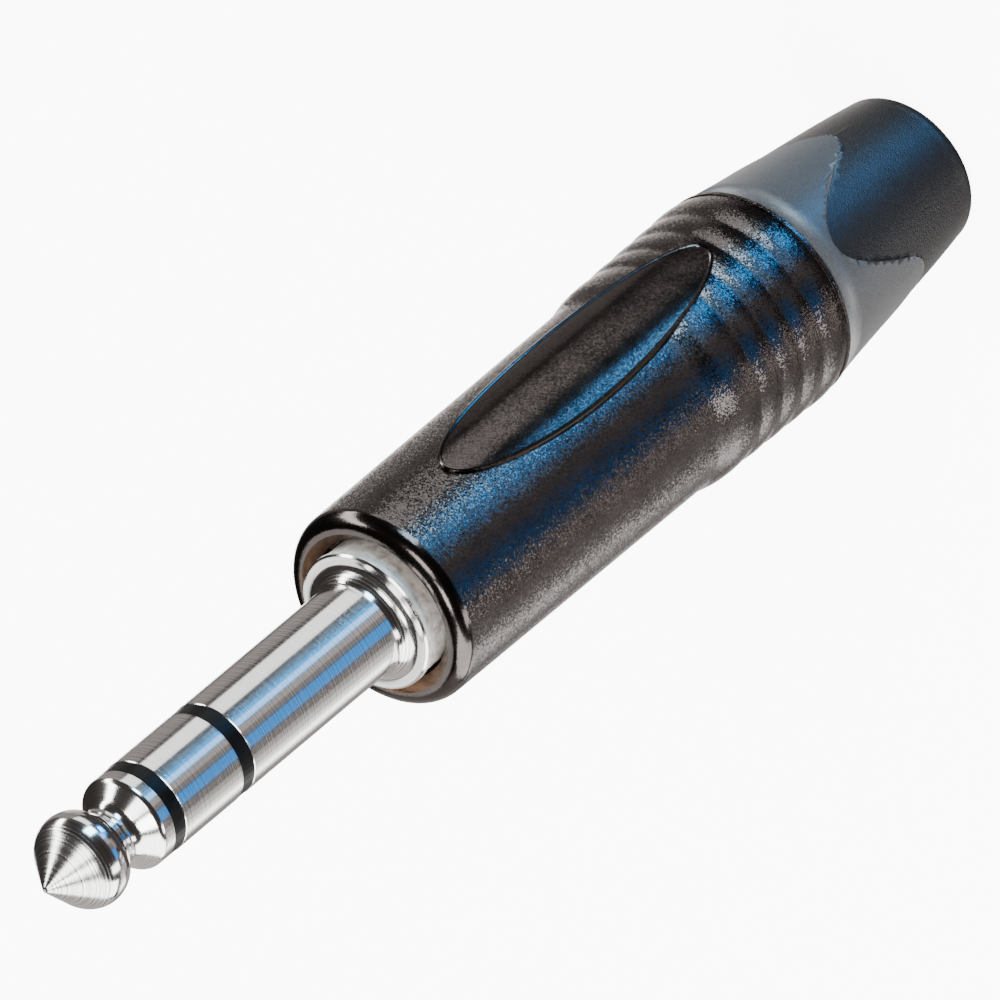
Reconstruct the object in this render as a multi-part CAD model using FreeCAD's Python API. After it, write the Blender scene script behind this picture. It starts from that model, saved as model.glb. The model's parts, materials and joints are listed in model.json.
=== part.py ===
import FreeCAD, Part
import math
import os

# Stereo jack plug, 6.35 mm, straight and slim, with a screwed rear bushing.
# The plug stands on the flat end of its boot, with the tip straight up.
# Millimetres, +Z along the plug from the boot's end to the tip.

# Finger: the standard contacts, from the tip down to the collar
finger_radius = 3.175
tip_length = 8.6
nose_curve = 0.4
ball_radius = 3.14
ball_depth = 3.6
ball_curve = 1.9
neck_radius = 1.85
neck_depth = 6.1
neck_curve = 0.9
bead_radius = 3.14
bead_curve = 0.5
bead_land = 0.8
tip_spacer_length = 1.0
ring_length = 5.55
ring_spacer_length = 1.1
spacer_radius = 3.14
sleeve_length = 14.85
foot_fillet_radius = 1.1

# Collar of the sleeve contact, seen in the shell's mouth
collar_radius = 4.68
collar_rim_width = 0.45
collar_edge = 0.12
collar_wall_radius = 4.55
collar_stand = 1.0
flange_radius = 5.62
flange_thickness = 2.0
spigot_radius = 2.95
spigot_length = 1.9

# Rod and tubes that run back through the finger
rod_radius = 0.8
inner_tube_wall = 0.46
ring_tube_wall = 0.5
outer_tube_wall = 0.48
slip = 0.02
rod_head_radius = 1.25
rod_head_height = 0.5

# Insulating block, tags and washers behind the collar
block_radius = 5.6
block_length = 6.0
tag_thickness = 0.5
ground_tag_radius = 4.9
ground_tag_width = 3.0
ground_tag_stand = 1.5
ground_tag_angle = 210
ring_tag_radius = 2.7
ring_tag_width = 2.2
ring_tag_offset = 3.6
ring_tag_stand = 3.0
ring_tag_angle = 90
ring_tube_tail = 0.5
tip_tag_radius = 2.3
tip_tag_width = 1.8
tip_tag_offset = 2.7
tip_tag_stand = 3.5
tip_tag_angle = -30
solder_hole_radius = 0.55
tag_washer_radius = 2.9
tag_washer_length = 1.5
rivet_washer_radius = 1.8
rivet_washer_length = 0.5
slot_clearance = 0.15

# Shell: long plain grip, lobed swelling at the rear
shell_length = 38.0
shell_front_radius = 6.7
shell_rear_grip_radius = 6.86
lip_flat = 0.1
mouth_clearance = 0.12
mouth_chamfer = 0.7
front_wall = 3.2
shell_bore_radius = 5.75
swell_start = 13.1
swell_rise = 2.4
first_lobe_radius = 7.2
last_lobe_radius = 7.38
rear_edge_radius = 7.24
groove_pitch = 2.03
groove_count = 4
groove_width = 0.16
groove_depth = 0.09
last_lobe_width = 2.75
rim_width = 0.22
rim_step = 0.07

# Oval panels on two opposite sides of the shell
panel_angle = -55
panel_count = 2
panel_front_gap = 6.75
panel_front_length = 12.1
panel_rear_length = 14.0
panel_half_width = 3.22
panel_front_rise = 0.18
panel_rear_radius = 7.28
panel_root = 6.2
panel_bead_width = 0.3
panel_bead_height = 0.1

# Screw joint between shell and bushing, cut as plain cylinders
thread_radius = 5.9
thread_clearance = 0.2
thread_length = 6.0
thread_relief = 0.6
seam_gap = 0.1

# Insulating sleeve round the tags
liner_radius = 5.62
liner_wall = 0.35

# Chuck that grips the cable
chuck_gap = 0.3
chuck_seat = 0.7
chuck_length = 15.4
chuck_ring_radius = 5.5
chuck_ring_length = 3.5
chuck_jaw_radius = 4.95
chuck_nose_radius = 4.2
chuck_cone_length = 4.6
chuck_bore_radius = 3.3
jaw_count = 4
jaw_slot_width = 1.0
jaw_slot_length = 10.2
key_width = 2.0
key_radius = 5.95
key_clearance = 0.15
tooth_count = 5
tooth_pitch = 1.4
tooth_width = 0.7
tooth_height = 0.35
tooth_start = 0.7
cone_clearance = 0.16

# Bushing with three long fingers, and the soft boot between them
tail_length = 15.8
bushing_front_radius = 7.17
waist_depth = 5.3
waist_radius = 6.47
boot_end_radius = 5.3
tail_crown = 0.06
boot_end_fillet = 1.1
boot_sink = 0.1
boot_skin = 0.3
core_depth = 4.4
cable_radius = 3.6
bushing_bore_radius = 3.85
finger_angles = (-43, -148, 84.5)
wave_gap = 1.6
wave_height = 3.9
wave_steps = 36
finger_sharpness = 0.12

# How far a cutting form runs past the face it cuts
overrun = 1.0


def turned(points):
    """A solid turned about the plug's axis from a closed outline of (radius, height) points."""
    corners = [FreeCAD.Vector(radius, 0, height) for radius, height in points]
    outline = Part.makePolygon(corners + [corners[0]])
    return turned_wire(outline)


def turned_wire(outline):
    face = Part.Face(outline)
    return face.revolve(FreeCAD.Vector(0, 0, 0), FreeCAD.Vector(0, 0, 1), 360)


def line(start, end):
    return Part.makeLine(FreeCAD.Vector(start[0], 0, start[1]), FreeCAD.Vector(end[0], 0, end[1]))


def arc(start, middle, end):
    places = [FreeCAD.Vector(radius, 0, height) for radius, height in (start, middle, end)]
    return Part.Arc(*places).toShape()


def curve(points):
    places = [FreeCAD.Vector(radius, 0, height) for radius, height in points]
    spline = Part.BSplineCurve()
    spline.interpolate(places)
    return spline.toShape()


def tube(inner, outer, low, high):
    ring = Part.makeCylinder(outer, high - low, FreeCAD.Vector(0, 0, low))
    if inner > 0:
        ring = ring.cut(Part.makeCylinder(inner, high - low, FreeCAD.Vector(0, 0, low)))
    return ring


def turn_by(shape, angle):
    turned_shape = shape.copy()
    turned_shape.rotate(FreeCAD.Vector(0, 0, 0), FreeCAD.Vector(0, 0, 1), angle)
    return turned_shape


def corner_inset(radius):
    """How far the middle of a quarter round lies inside each of its two tangents."""
    return radius * (1 - math.sqrt(0.5))


def save(name, shape):
    if shape.ShapeType != "Solid" and len(shape.Solids) == 1:
        shape = shape.Solids[0]
    shape.exportStep(os.path.join("parts", name + ".step"))


# Heights, from the boot's end face up to the tip
shell_rear = tail_length + seam_gap
shell_front = shell_rear + shell_length
collar_front = shell_front + collar_stand
sleeve_front = collar_front + sleeve_length
ring_rear = sleeve_front + ring_spacer_length
ring_front = ring_rear + ring_length
tip_rear = ring_front + tip_spacer_length
apex = tip_rear + tip_length

# Heights in the tail, where the chuck stands over the boot's core
core_floor = tail_length - core_depth
wave_mid = tail_length - wave_gap - wave_height
chuck_rear = core_floor + chuck_seat
chuck_front = chuck_rear + chuck_length
chuck_ring_rear = chuck_front - chuck_ring_length
liner_rear = chuck_front + chuck_gap

# Heights of the stack behind the shell's front wall
flange_front = shell_front - front_wall
flange_rear = flange_front - flange_thickness
block_front = flange_rear - tag_thickness
block_rear = block_front - block_length
ring_tag_rear = block_rear - tag_thickness
ring_tube_end = ring_tag_rear - ring_tube_tail
tag_washer_rear = ring_tube_end - tag_washer_length
tip_tag_rear = tag_washer_rear - tag_thickness
rivet_washer_rear = tip_tag_rear - rivet_washer_length
rod_end = rivet_washer_rear - rod_head_height

# Radii of the nested rod, tubes and bores
inner_tube_bore = rod_radius + slip
inner_tube_radius = inner_tube_bore + inner_tube_wall
ring_bore = inner_tube_radius + slip
ring_tube_radius = ring_bore + ring_tube_wall
outer_tube_bore = ring_tube_radius + slip
outer_tube_radius = outer_tube_bore + outer_tube_wall
sleeve_bore = outer_tube_radius + slip
core_radius = boot_end_radius - boot_skin
mouth_radius = collar_radius + mouth_clearance
lip_radius = shell_front_radius - mouth_radius - mouth_chamfer - lip_flat


def touch_points(first, second):
    """Where a straight line touches two circles (radius, height, curve); a hollow's curve is negative."""
    across = second[0] - first[0]
    down = second[1] - first[1]
    length = math.hypot(across, down)
    lean = (first[2] - second[2]) / length
    side = math.sqrt(1 - lean * lean)
    normal_r = (lean * across - side * down) / length
    normal_z = (lean * down + side * across) / length
    points = []
    for centre_r, centre_z, curve_radius in (first, second):
        points.append((centre_r + curve_radius * normal_r, centre_z + curve_radius * normal_z))
    return points


def bend(circle, start, end):
    """The short arc of a circle (radius, height, curve) between two points on it."""
    centre_r, centre_z, curve_radius = circle
    middle_r = start[0] + end[0] - 2 * centre_r
    middle_z = start[1] + end[1] - 2 * centre_z
    scale = abs(curve_radius) / math.hypot(middle_r, middle_z)
    return arc(start, (centre_r + middle_r * scale, centre_z + middle_z * scale), end)


def tip_contact():
    nose = (0, apex - nose_curve, nose_curve)
    ball = (ball_radius - ball_curve, apex - ball_depth, ball_curve)
    neck = (neck_radius + neck_curve, apex - neck_depth, -neck_curve)
    bead = (bead_radius - bead_curve, tip_rear + bead_land, bead_curve)
    cone_top, cone_low = touch_points(nose, ball)
    back_top, back_low = touch_points(ball, neck)
    ramp_top, ramp_low = touch_points(neck, bead)
    land = (bead_radius, bead[1])
    edges = [
        bend(nose, (0, apex), cone_top),
        line(cone_top, cone_low),
        bend(ball, cone_low, back_top),
        line(back_top, back_low),
        bend(neck, back_low, ramp_top),
        line(ramp_top, ramp_low),
        bend(bead, ramp_low, land),
        line(land, (bead_radius, tip_rear)),
        line((bead_radius, tip_rear), (rod_radius, tip_rear)),
        line((rod_radius, tip_rear), (rod_radius, rivet_washer_rear)),
        line((rod_radius, rivet_washer_rear), (rod_head_radius, rivet_washer_rear)),
        line((rod_head_radius, rivet_washer_rear), (rod_radius, rod_end)),
        line((rod_radius, rod_end), (0, rod_end)),
        line((0, rod_end), (0, apex)),
    ]
    return turned_wire(Part.Wire(edges))


def ring_contact():
    band = tube(ring_bore, finger_radius, ring_rear, ring_front)
    tail = tube(ring_bore, ring_tube_radius, ring_tube_end, ring_rear)
    return band.fuse(tail).removeSplitter()


def sleeve_contact():
    foot = collar_front + foot_fillet_radius
    face_inner = finger_radius + foot_fillet_radius
    bulge = corner_inset(foot_fillet_radius)
    foot_middle = (finger_radius + bulge, collar_front + bulge)
    rim_rear = collar_front - collar_rim_width
    spigot_end = flange_rear - spigot_length
    edges = [
        line((sleeve_bore, sleeve_front), (finger_radius, sleeve_front)),
        line((finger_radius, sleeve_front), (finger_radius, foot)),
        arc((finger_radius, foot), foot_middle, (face_inner, collar_front)),
        line((face_inner, collar_front), (collar_radius - collar_edge, collar_front)),
        line((collar_radius - collar_edge, collar_front), (collar_radius, collar_front - collar_edge)),
        line((collar_radius, collar_front - collar_edge), (collar_radius, rim_rear)),
        line((collar_radius, rim_rear), (collar_wall_radius, rim_rear)),
        line((collar_wall_radius, rim_rear), (collar_wall_radius, flange_front)),
        line((collar_wall_radius, flange_front), (flange_radius, flange_front)),
        line((flange_radius, flange_front), (flange_radius, flange_rear)),
        line((flange_radius, flange_rear), (spigot_radius, flange_rear)),
        line((spigot_radius, flange_rear), (spigot_radius, spigot_end)),
        line((spigot_radius, spigot_end), (sleeve_bore, spigot_end)),
        line((sleeve_bore, spigot_end), (sleeve_bore, sleeve_front)),
    ]
    return turned_wire(Part.Wire(edges))


def tongue(offset, width, low, high, angle):
    """A flat strip along the plug at one side of the axis, with a rounded end and a solder hole."""
    half = width / 2
    centre = FreeCAD.Vector(offset, 0, low + half)
    outwards = FreeCAD.Vector(1, 0, 0)
    strip = Part.makeBox(tag_thickness, width, high - low - half, FreeCAD.Vector(offset, -half, low + half))
    end = Part.makeCylinder(half, tag_thickness, centre, outwards)
    hole = Part.makeCylinder(solder_hole_radius, tag_thickness, centre, outwards)
    return turn_by(strip.fuse(end).cut(hole), angle)


def tag(bore, radius, low, offset, width, stand, angle):
    """A washer with a bridge to a strip that is bent back along the plug, to a stand above the chuck."""
    high = low + tag_thickness
    washer = tube(bore, radius, low, high)
    bridge = Part.makeBox(offset + tag_thickness - bore, width, tag_thickness,
                          FreeCAD.Vector(bore, -width / 2, low))
    bridge = bridge.cut(Part.makeCylinder(bore, tag_thickness, FreeCAD.Vector(0, 0, low)))
    strip = tongue(offset, width, chuck_front + stand, high, angle)
    return washer.fuse([turn_by(bridge, angle), strip]).removeSplitter()


def ground_tag():
    offset = ground_tag_radius - tag_thickness
    bore = spigot_radius + slip
    return tag(bore, ground_tag_radius, block_front, offset, ground_tag_width,
               ground_tag_stand, ground_tag_angle)


def ring_tag():
    return tag(ring_tube_radius + slip, ring_tag_radius, ring_tag_rear, ring_tag_offset,
               ring_tag_width, ring_tag_stand, ring_tag_angle)


def tip_tag():
    return tag(rod_radius + slip, tip_tag_radius, tip_tag_rear, tip_tag_offset,
               tip_tag_width, tip_tag_stand, tip_tag_angle)


def insert_block():
    block = tube(sleeve_bore, block_radius, block_rear, block_front)
    pocket_depth = spigot_length - tag_thickness + slip
    pocket_floor = FreeCAD.Vector(0, 0, block_front - pocket_depth)
    pocket = Part.makeCylinder(spigot_radius + slip, pocket_depth, pocket_floor)
    slot_offset = ground_tag_radius - tag_thickness - slot_clearance
    slot_width = ground_tag_width + 2 * slot_clearance
    slot_corner = FreeCAD.Vector(slot_offset, -slot_width / 2, block_rear)
    slot = Part.makeBox(block_radius, slot_width, block_length, slot_corner)
    return block.cut([pocket, turn_by(slot, ground_tag_angle)])


def grip_radius(height):
    share = (shell_front - height) / (shell_length - swell_start)
    return shell_front_radius + (shell_rear_grip_radius - shell_front_radius) * share


def lobe_radius(height):
    swell_top = shell_rear + swell_start - swell_rise
    share = (swell_top - height) / (swell_top - shell_rear)
    return first_lobe_radius + (last_lobe_radius - first_lobe_radius) * share


def groove_heights():
    lowest = shell_rear + last_lobe_width
    return [lowest + groove_pitch * number for number in range(groove_count)][::-1]


def shell_outline():
    lip_low = shell_front - lip_radius
    lip_inset = corner_inset(lip_radius)
    front = shell_front_radius
    lip_middle = (front - lip_inset, shell_front - lip_inset)
    swell_low = shell_rear + swell_start
    swell_mid = swell_low - swell_rise / 2
    half = groove_width / 2
    grooves = groove_heights()
    first = grooves[0] + half
    outer = [
        line((mouth_radius + mouth_chamfer, shell_front), (front - lip_radius, shell_front)),
        arc((front - lip_radius, shell_front), lip_middle, (front, lip_low)),
        line((front, lip_low), (shell_rear_grip_radius, swell_low)),
    ]
    groove_floor = lobe_radius(first) - groove_depth
    outer.append(curve([(shell_rear_grip_radius, swell_low),
                        ((shell_rear_grip_radius + first_lobe_radius) / 2, swell_mid),
                        (first_lobe_radius, swell_low - swell_rise), (groove_floor, first)]))
    last = (groove_floor, first)
    for number, height in enumerate(grooves):
        low = (lobe_radius(height) - groove_depth, height - half)
        outer.append(line(last, low))
        if number + 1 < len(grooves):
            bottom = grooves[number + 1] + half
            last = (lobe_radius(bottom) - groove_depth, bottom)
        else:
            bottom = shell_rear + rim_width
            last = (rear_edge_radius - rim_step, bottom)
        middle = (low[1] + bottom) / 2
        outer.append(arc(low, (lobe_radius(middle), middle), last))
    rear = (rear_edge_radius, shell_rear)
    outer.append(line(last, (rear_edge_radius, shell_rear + rim_width)))
    outer.append(line((rear_edge_radius, shell_rear + rim_width), rear))
    bore_start = shell_rear + thread_length + thread_relief
    thread_bore = thread_radius + thread_clearance
    inner = [
        (rear_edge_radius, shell_rear), (thread_bore, shell_rear), (thread_bore, bore_start),
        (shell_bore_radius, bore_start), (shell_bore_radius, flange_front),
        (mouth_radius, flange_front), (mouth_radius, shell_front - mouth_chamfer),
        (mouth_radius + mouth_chamfer, shell_front),
    ]
    for start, end in zip(inner[:-1], inner[1:]):
        outer.append(line(start, end))
    return Part.Wire(outer)


def oval_prism(inset=0):
    """A prism through the wall whose section is the panel's oval, blunt in front and longer behind."""
    widest = shell_front - panel_front_gap - panel_front_length
    centre = FreeCAD.Vector(0, 0, widest)
    along_front = FreeCAD.Vector(0, 0, widest + panel_front_length - inset)
    along_rear = FreeCAD.Vector(0, 0, widest - panel_rear_length + inset)
    side = FreeCAD.Vector(0, panel_half_width - inset, widest)
    front = Part.Ellipse(along_front, side, centre)
    rear = Part.Ellipse(along_rear, side, centre)
    quarter = math.pi / 2
    front_edge = front.toShape(-quarter, quarter)
    rear_edge = rear.toShape(-quarter, quarter)
    face = Part.Face(Part.Wire(Part.sortEdges([front_edge, rear_edge])[0]))
    return face.extrude(FreeCAD.Vector(last_lobe_radius + overrun, 0, 0))


def panel_surface_points():
    front = shell_front - panel_front_gap + overrun
    rear = shell_front - panel_front_gap - panel_front_length - panel_rear_length - overrun
    front_radius = grip_radius(front) + panel_front_rise
    return (front_radius, front), (panel_rear_radius, rear)


def shell():
    body = turned_wire(shell_outline())
    front, rear = panel_surface_points()
    far = last_lobe_radius + overrun
    bead_front = (front[0] + panel_bead_height, front[1])
    bead_rear = (rear[0] + panel_bead_height, rear[1])
    outside = turned([front, rear, (far, rear[1]), (far, front[1])])
    raised = turned([bead_front, bead_rear, (panel_root, rear[1]), (panel_root, front[1])])
    prism = oval_prism()
    hollow = outside.common(oval_prism(panel_bead_width))
    pad = raised.common(prism).cut(hollow)
    bed = outside.common(prism)
    for number in range(panel_count):
        angle = panel_angle + 360 / panel_count * number
        body = body.cut(turn_by(bed, angle)).fuse(turn_by(pad, angle))
    groove_height = chuck_front + key_clearance - shell_rear
    half = key_width / 2 + key_clearance
    reach = thread_radius + thread_clearance
    ways = Part.makeBox(2 * reach, 2 * half, groove_height, FreeCAD.Vector(-reach, -half, shell_rear))
    ways = ways.common(Part.makeCylinder(reach, groove_height, FreeCAD.Vector(0, 0, shell_rear)))
    return body.cut(ways).removeSplitter()


def insulating_sleeve():
    return tube(liner_radius - liner_wall, liner_radius, liner_rear, block_rear)


def chuck():
    cone_start = chuck_rear + chuck_cone_length
    outline = [
        (chuck_bore_radius, chuck_front), (chuck_ring_radius, chuck_front),
        (chuck_ring_radius, chuck_ring_rear), (chuck_jaw_radius, chuck_ring_rear),
        (chuck_jaw_radius, cone_start), (chuck_nose_radius, chuck_rear),
        (chuck_bore_radius, chuck_rear),
    ]
    for number in range(tooth_count):
        low = chuck_rear + tooth_start + tooth_pitch * number
        outline.append((chuck_bore_radius, low))
        outline.append((chuck_bore_radius - tooth_height, low + tooth_width / 2))
        outline.append((chuck_bore_radius, low + tooth_width))
    body = turned(outline)
    key = Part.makeBox(2 * key_radius, key_width, chuck_ring_length,
                       FreeCAD.Vector(-key_radius, -key_width / 2, chuck_ring_rear))
    key = key.common(tube(chuck_jaw_radius, key_radius, chuck_ring_rear, chuck_front))
    body = body.fuse(key).removeSplitter()
    slots = []
    for number in range(jaw_count):
        slot = Part.makeBox(chuck_ring_radius, jaw_slot_width, jaw_slot_length,
                            FreeCAD.Vector(0, -jaw_slot_width / 2, chuck_rear))
        slots.append(turn_by(slot, 360 / jaw_count * (number + 0.5)))
    return body.cut(slots)


def wave(angle):
    """Height of the border between bushing and boot; low at each finger, high between them."""
    ordered = sorted(finger_angles)
    after = [place + 360 for place in ordered]
    ring = ordered + after
    angle = (angle - ordered[0]) % 360 + ordered[0]
    for low, high in zip(ring[:-1], ring[1:]):
        if low <= angle <= high:
            share = (angle - low) / (high - low)
            break
    swing = math.cos(2 * math.pi * share)
    swing = swing - finger_sharpness * (1 - swing * swing)
    return wave_mid - wave_height * swing


def wave_curve(radius, flat_height=None):
    points = []
    for step in range(wave_steps):
        angle = 360 * step / wave_steps
        height = wave(angle) if flat_height is None else flat_height
        turn = math.radians(angle)
        points.append(FreeCAD.Vector(radius * math.cos(turn), radius * math.sin(turn), height))
    spline = Part.BSplineCurve()
    spline.interpolate(points, PeriodicFlag=True)
    return spline.toShape()


def wave_space():
    """The space round the core that lies on the boot's side of the wavy border."""
    low = -overrun
    near = core_radius / 2
    far = bushing_front_radius + overrun
    inner_top = wave_curve(near)
    outer_top = wave_curve(far)
    inner_low = wave_curve(near, low)
    outer_low = wave_curve(far, low)
    faces = [
        Part.makeRuledSurface(inner_top, outer_top),
        Part.makeRuledSurface(outer_top, outer_low),
        Part.makeRuledSurface(outer_low, inner_low),
        Part.makeRuledSurface(inner_low, inner_top),
    ]
    hull = Part.makeShell(faces)
    hull.sewShape()
    space = Part.makeSolid(hull)
    if space.Volume < 0:
        space.reverse()
    return space.cut(Part.makeCylinder(core_radius, tail_length - low, FreeCAD.Vector(0, 0, low)))


def tail_curve(sink):
    """The outer line shared by bushing and boot, with the boot a little sunk."""
    waist = (waist_radius - sink, tail_length - waist_depth)
    end = (boot_end_radius - sink, boot_end_fillet)
    top = (bushing_front_radius - sink, tail_length)
    middle = ((waist[0] + end[0]) / 2 + tail_crown, (waist[1] + end[1]) / 2)
    return curve([top, waist, middle, end])


def bushing():
    cone_low = chuck_rear - chuck_gap
    slope = (chuck_jaw_radius - chuck_nose_radius) / chuck_cone_length
    cone_low_radius = chuck_nose_radius - slope * chuck_gap + cone_clearance
    straight_radius = chuck_jaw_radius + cone_clearance
    cone_high = chuck_rear + chuck_cone_length
    spigot_top = shell_rear + thread_length
    end_radius = boot_end_radius
    edges = [
        line((straight_radius, spigot_top), (thread_radius, spigot_top)),
        line((thread_radius, spigot_top), (thread_radius, tail_length)),
        line((thread_radius, tail_length), (bushing_front_radius, tail_length)),
        tail_curve(0),
        line((end_radius, boot_end_fillet), (core_radius, boot_end_fillet)),
        line((core_radius, boot_end_fillet), (core_radius, core_floor)),
        line((core_radius, core_floor), (bushing_bore_radius, core_floor)),
        line((bushing_bore_radius, core_floor), (bushing_bore_radius, cone_low)),
        line((bushing_bore_radius, cone_low), (cone_low_radius, cone_low)),
        line((cone_low_radius, cone_low), (straight_radius, cone_high)),
        line((straight_radius, cone_high), (straight_radius, spigot_top)),
    ]
    return turned_wire(Part.Wire(edges)).cut(wave_space())


def boot():
    end_inset = corner_inset(boot_end_fillet)
    end = boot_end_radius - boot_sink
    edges = [
        line((core_radius, tail_length), (bushing_front_radius - boot_sink, tail_length)),
        tail_curve(boot_sink),
        arc((end, boot_end_fillet), (end - end_inset, end_inset), (end - boot_end_fillet, 0)),
        line((end - boot_end_fillet, 0), (cable_radius, 0)),
        line((cable_radius, 0), (cable_radius, core_floor)),
        line((cable_radius, core_floor), (core_radius, core_floor)),
        line((core_radius, core_floor), (core_radius, tail_length)),
    ]
    whole = turned_wire(Part.Wire(edges))
    core = tube(cable_radius, core_radius, -overrun, core_floor)
    return whole.common(wave_space().fuse(core))


os.makedirs("parts", exist_ok=True)
save("tip_contact", tip_contact())
save("tip_spacer", tube(inner_tube_bore, spacer_radius, ring_front, tip_rear))
save("inner_tube", tube(inner_tube_bore, inner_tube_radius, ring_tube_end, ring_front))
save("ring_contact", ring_contact())
save("ring_spacer", tube(outer_tube_bore, spacer_radius, sleeve_front, ring_rear))
save("outer_tube", tube(outer_tube_bore, outer_tube_radius, block_rear, sleeve_front))
save("sleeve_contact", sleeve_contact())
save("ground_tag", ground_tag())
save("insert_block", insert_block())
save("ring_tag", ring_tag())
save("tag_washer", tube(inner_tube_bore, tag_washer_radius, tag_washer_rear, ring_tube_end))
save("tip_tag", tip_tag())
save("rivet_washer", tube(rod_radius + slip, rivet_washer_radius, rivet_washer_rear, tip_tag_rear))
save("shell", shell())
save("insulating_sleeve", insulating_sleeve())
save("chuck", chuck())
save("bushing", bushing())
save("boot", boot())
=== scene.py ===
import json
import math

import bpy
from mathutils import Matrix, Vector


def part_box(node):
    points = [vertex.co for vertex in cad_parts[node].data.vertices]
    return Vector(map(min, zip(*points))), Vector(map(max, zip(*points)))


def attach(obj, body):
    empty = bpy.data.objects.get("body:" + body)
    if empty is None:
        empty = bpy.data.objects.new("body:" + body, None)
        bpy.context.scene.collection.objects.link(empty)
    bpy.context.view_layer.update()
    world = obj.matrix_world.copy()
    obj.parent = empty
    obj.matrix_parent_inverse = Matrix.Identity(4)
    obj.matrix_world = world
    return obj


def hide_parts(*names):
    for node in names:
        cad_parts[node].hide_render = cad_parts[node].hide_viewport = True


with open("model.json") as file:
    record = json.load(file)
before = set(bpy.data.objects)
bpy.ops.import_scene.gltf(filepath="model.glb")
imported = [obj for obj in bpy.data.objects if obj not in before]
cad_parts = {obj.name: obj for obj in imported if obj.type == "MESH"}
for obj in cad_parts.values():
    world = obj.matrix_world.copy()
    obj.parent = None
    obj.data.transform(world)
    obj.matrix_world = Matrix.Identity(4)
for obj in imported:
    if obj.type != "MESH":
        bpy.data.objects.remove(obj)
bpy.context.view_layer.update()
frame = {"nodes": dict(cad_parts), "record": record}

# A stereo jack plug, standing on the end of its boot. Metres, +Z from the boot up to the tip.
mm = 0.001
record = frame["record"]
slot_of = {row["node"]: row["material_slot"] for row in record["subparts"]}
body_of = {}
for body_name, members in record["behaviour"]["bodies"].items():
    for member in members:
        body_of[member] = body_name


def low(node):
    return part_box(node)[0].z


def high(node):
    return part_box(node)[1].z


def reach(node):
    """The radius of a round node, from its box."""
    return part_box(node)[1].x


# Sizes of the turned contacts that the boxes of their nodes don't give
nose_curve = 0.4 * mm
ball_curve = 1.9 * mm
ball_depth = 3.6 * mm
neck_radius = 1.85 * mm
neck_depth = 6.1 * mm
neck_curve = 0.9 * mm
bead_curve = 0.5 * mm
bead_land = 0.8 * mm
contact_edge = 0.05 * mm
nose_length = 2.75 * mm
rod_radius = 0.8 * mm
rod_head_radius = 1.25 * mm
rod_head_height = 0.5 * mm
ring_bore = 1.30 * mm
ring_tube_radius = 1.80 * mm
sleeve_bore = 2.32 * mm
foot_fillet = 1.1 * mm
collar_radius = 4.68 * mm
collar_rim = 0.45 * mm
collar_edge = 0.12 * mm
collar_wall_radius = 4.55 * mm
collar_stand = 1.0 * mm
flange_thickness = 2.0 * mm
tag_thickness = 0.5 * mm
spigot_radius = 2.95 * mm
face_margin = 0.1 * mm
turning_steps = 192
arc_steps = 14
turned_angle = 28
copied_angle = 32

# Shell: a plain grip, a lobed swelling at the rear and two oval panels
lip_radius = 1.1 * mm
lip_flat = 0.1 * mm
polished_lip_share = 0.9
mouth_radius = 4.80 * mm
mouth_chamfer = 0.7 * mm
mouth_depth = 3.2 * mm
shell_bore = 5.75 * mm
shell_steps = 288
shell_angle = 24
grip_rear_radius = 6.86 * mm
swell_start = 13.1 * mm
swell_rise = 2.4 * mm
first_lobe_radius = 7.2 * mm
last_lobe_radius = 7.373 * mm
last_lobe_width = 2.75 * mm
rear_edge_radius = 7.24 * mm
rim_width = 0.22 * mm
rim_step = 0.07 * mm
groove_pitch = 2.03 * mm
groove_count = 4
groove_width = 0.16 * mm
groove_depth = 0.09 * mm
thread_bore = 6.1 * mm
thread_depth = 6.6 * mm
key_way_width = 2.3 * mm
key_way_length = 11.75 * mm
panel_angles = (-55, 125)
panel_front_gap = 6.75 * mm
panel_front_length = 12.1 * mm
panel_rear_length = 14.0 * mm
panel_half_width = 3.22 * mm
panel_front_rise = 0.18 * mm
panel_rear_radius = 7.28 * mm
panel_root = 6.2 * mm
bead_tube = 0.15 * mm
bead_sink = 0.05 * mm
bead_rounding = 3
bead_guide_steps = 720
oval_steps = 160

# How far a cutting form runs past a face, the least gap between two near faces, and what is merged
overrun = 1.0 * mm
hair = 0.01 * mm
merge_distance = 0.0005 * mm
outline_merge_distance = 0.0001 * mm

# The photograph's camera: a long lens, 1.5 m from a point 30 mm behind the tip
picture_size = 1000
focal_pixels = 25147.3
sensor_width = 36.0
camera_distance = 1.5
aim_depth = 30 * mm
aim_pixel = (353.47, 631.88)
plug_slant = math.radians(39.96)
axis_to_view = math.radians(51.8786)


def camera_axes():
    """Right, up and backward of the camera, turned so that the tip points to the lower left."""
    elevation = math.pi / 2 - axis_to_view
    back = Vector((0, -math.cos(elevation), math.sin(elevation)))
    plug = Vector((0, 0, 1))
    along = (plug - back * plug.dot(back)).normalized()
    side = back.cross(along)
    right = side * math.sin(plug_slant) - along * math.cos(plug_slant)
    up = -along * math.sin(plug_slant) - side * math.cos(plug_slant)
    return right, up, back


def add_camera():
    right, up, back = camera_axes()
    aim = Vector((0, 0, high("tip_contact") - aim_depth))
    across = (aim_pixel[0] - picture_size / 2) / focal_pixels * camera_distance
    down = (aim_pixel[1] - picture_size / 2) / focal_pixels * camera_distance
    place = aim - right * across + up * down + back * camera_distance
    lens = bpy.data.cameras.new("camera")
    lens.lens = focal_pixels / picture_size * sensor_width
    lens.sensor_width = sensor_width
    lens.clip_start = 0.1
    lens.clip_end = 20
    camera = bpy.data.objects.new("camera", lens)
    turn = Matrix((right, up, back)).transposed().to_4x4()
    camera.matrix_world = Matrix.Translation(place) @ turn
    bpy.context.scene.collection.objects.link(camera)
    bpy.context.scene.camera = camera


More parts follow.
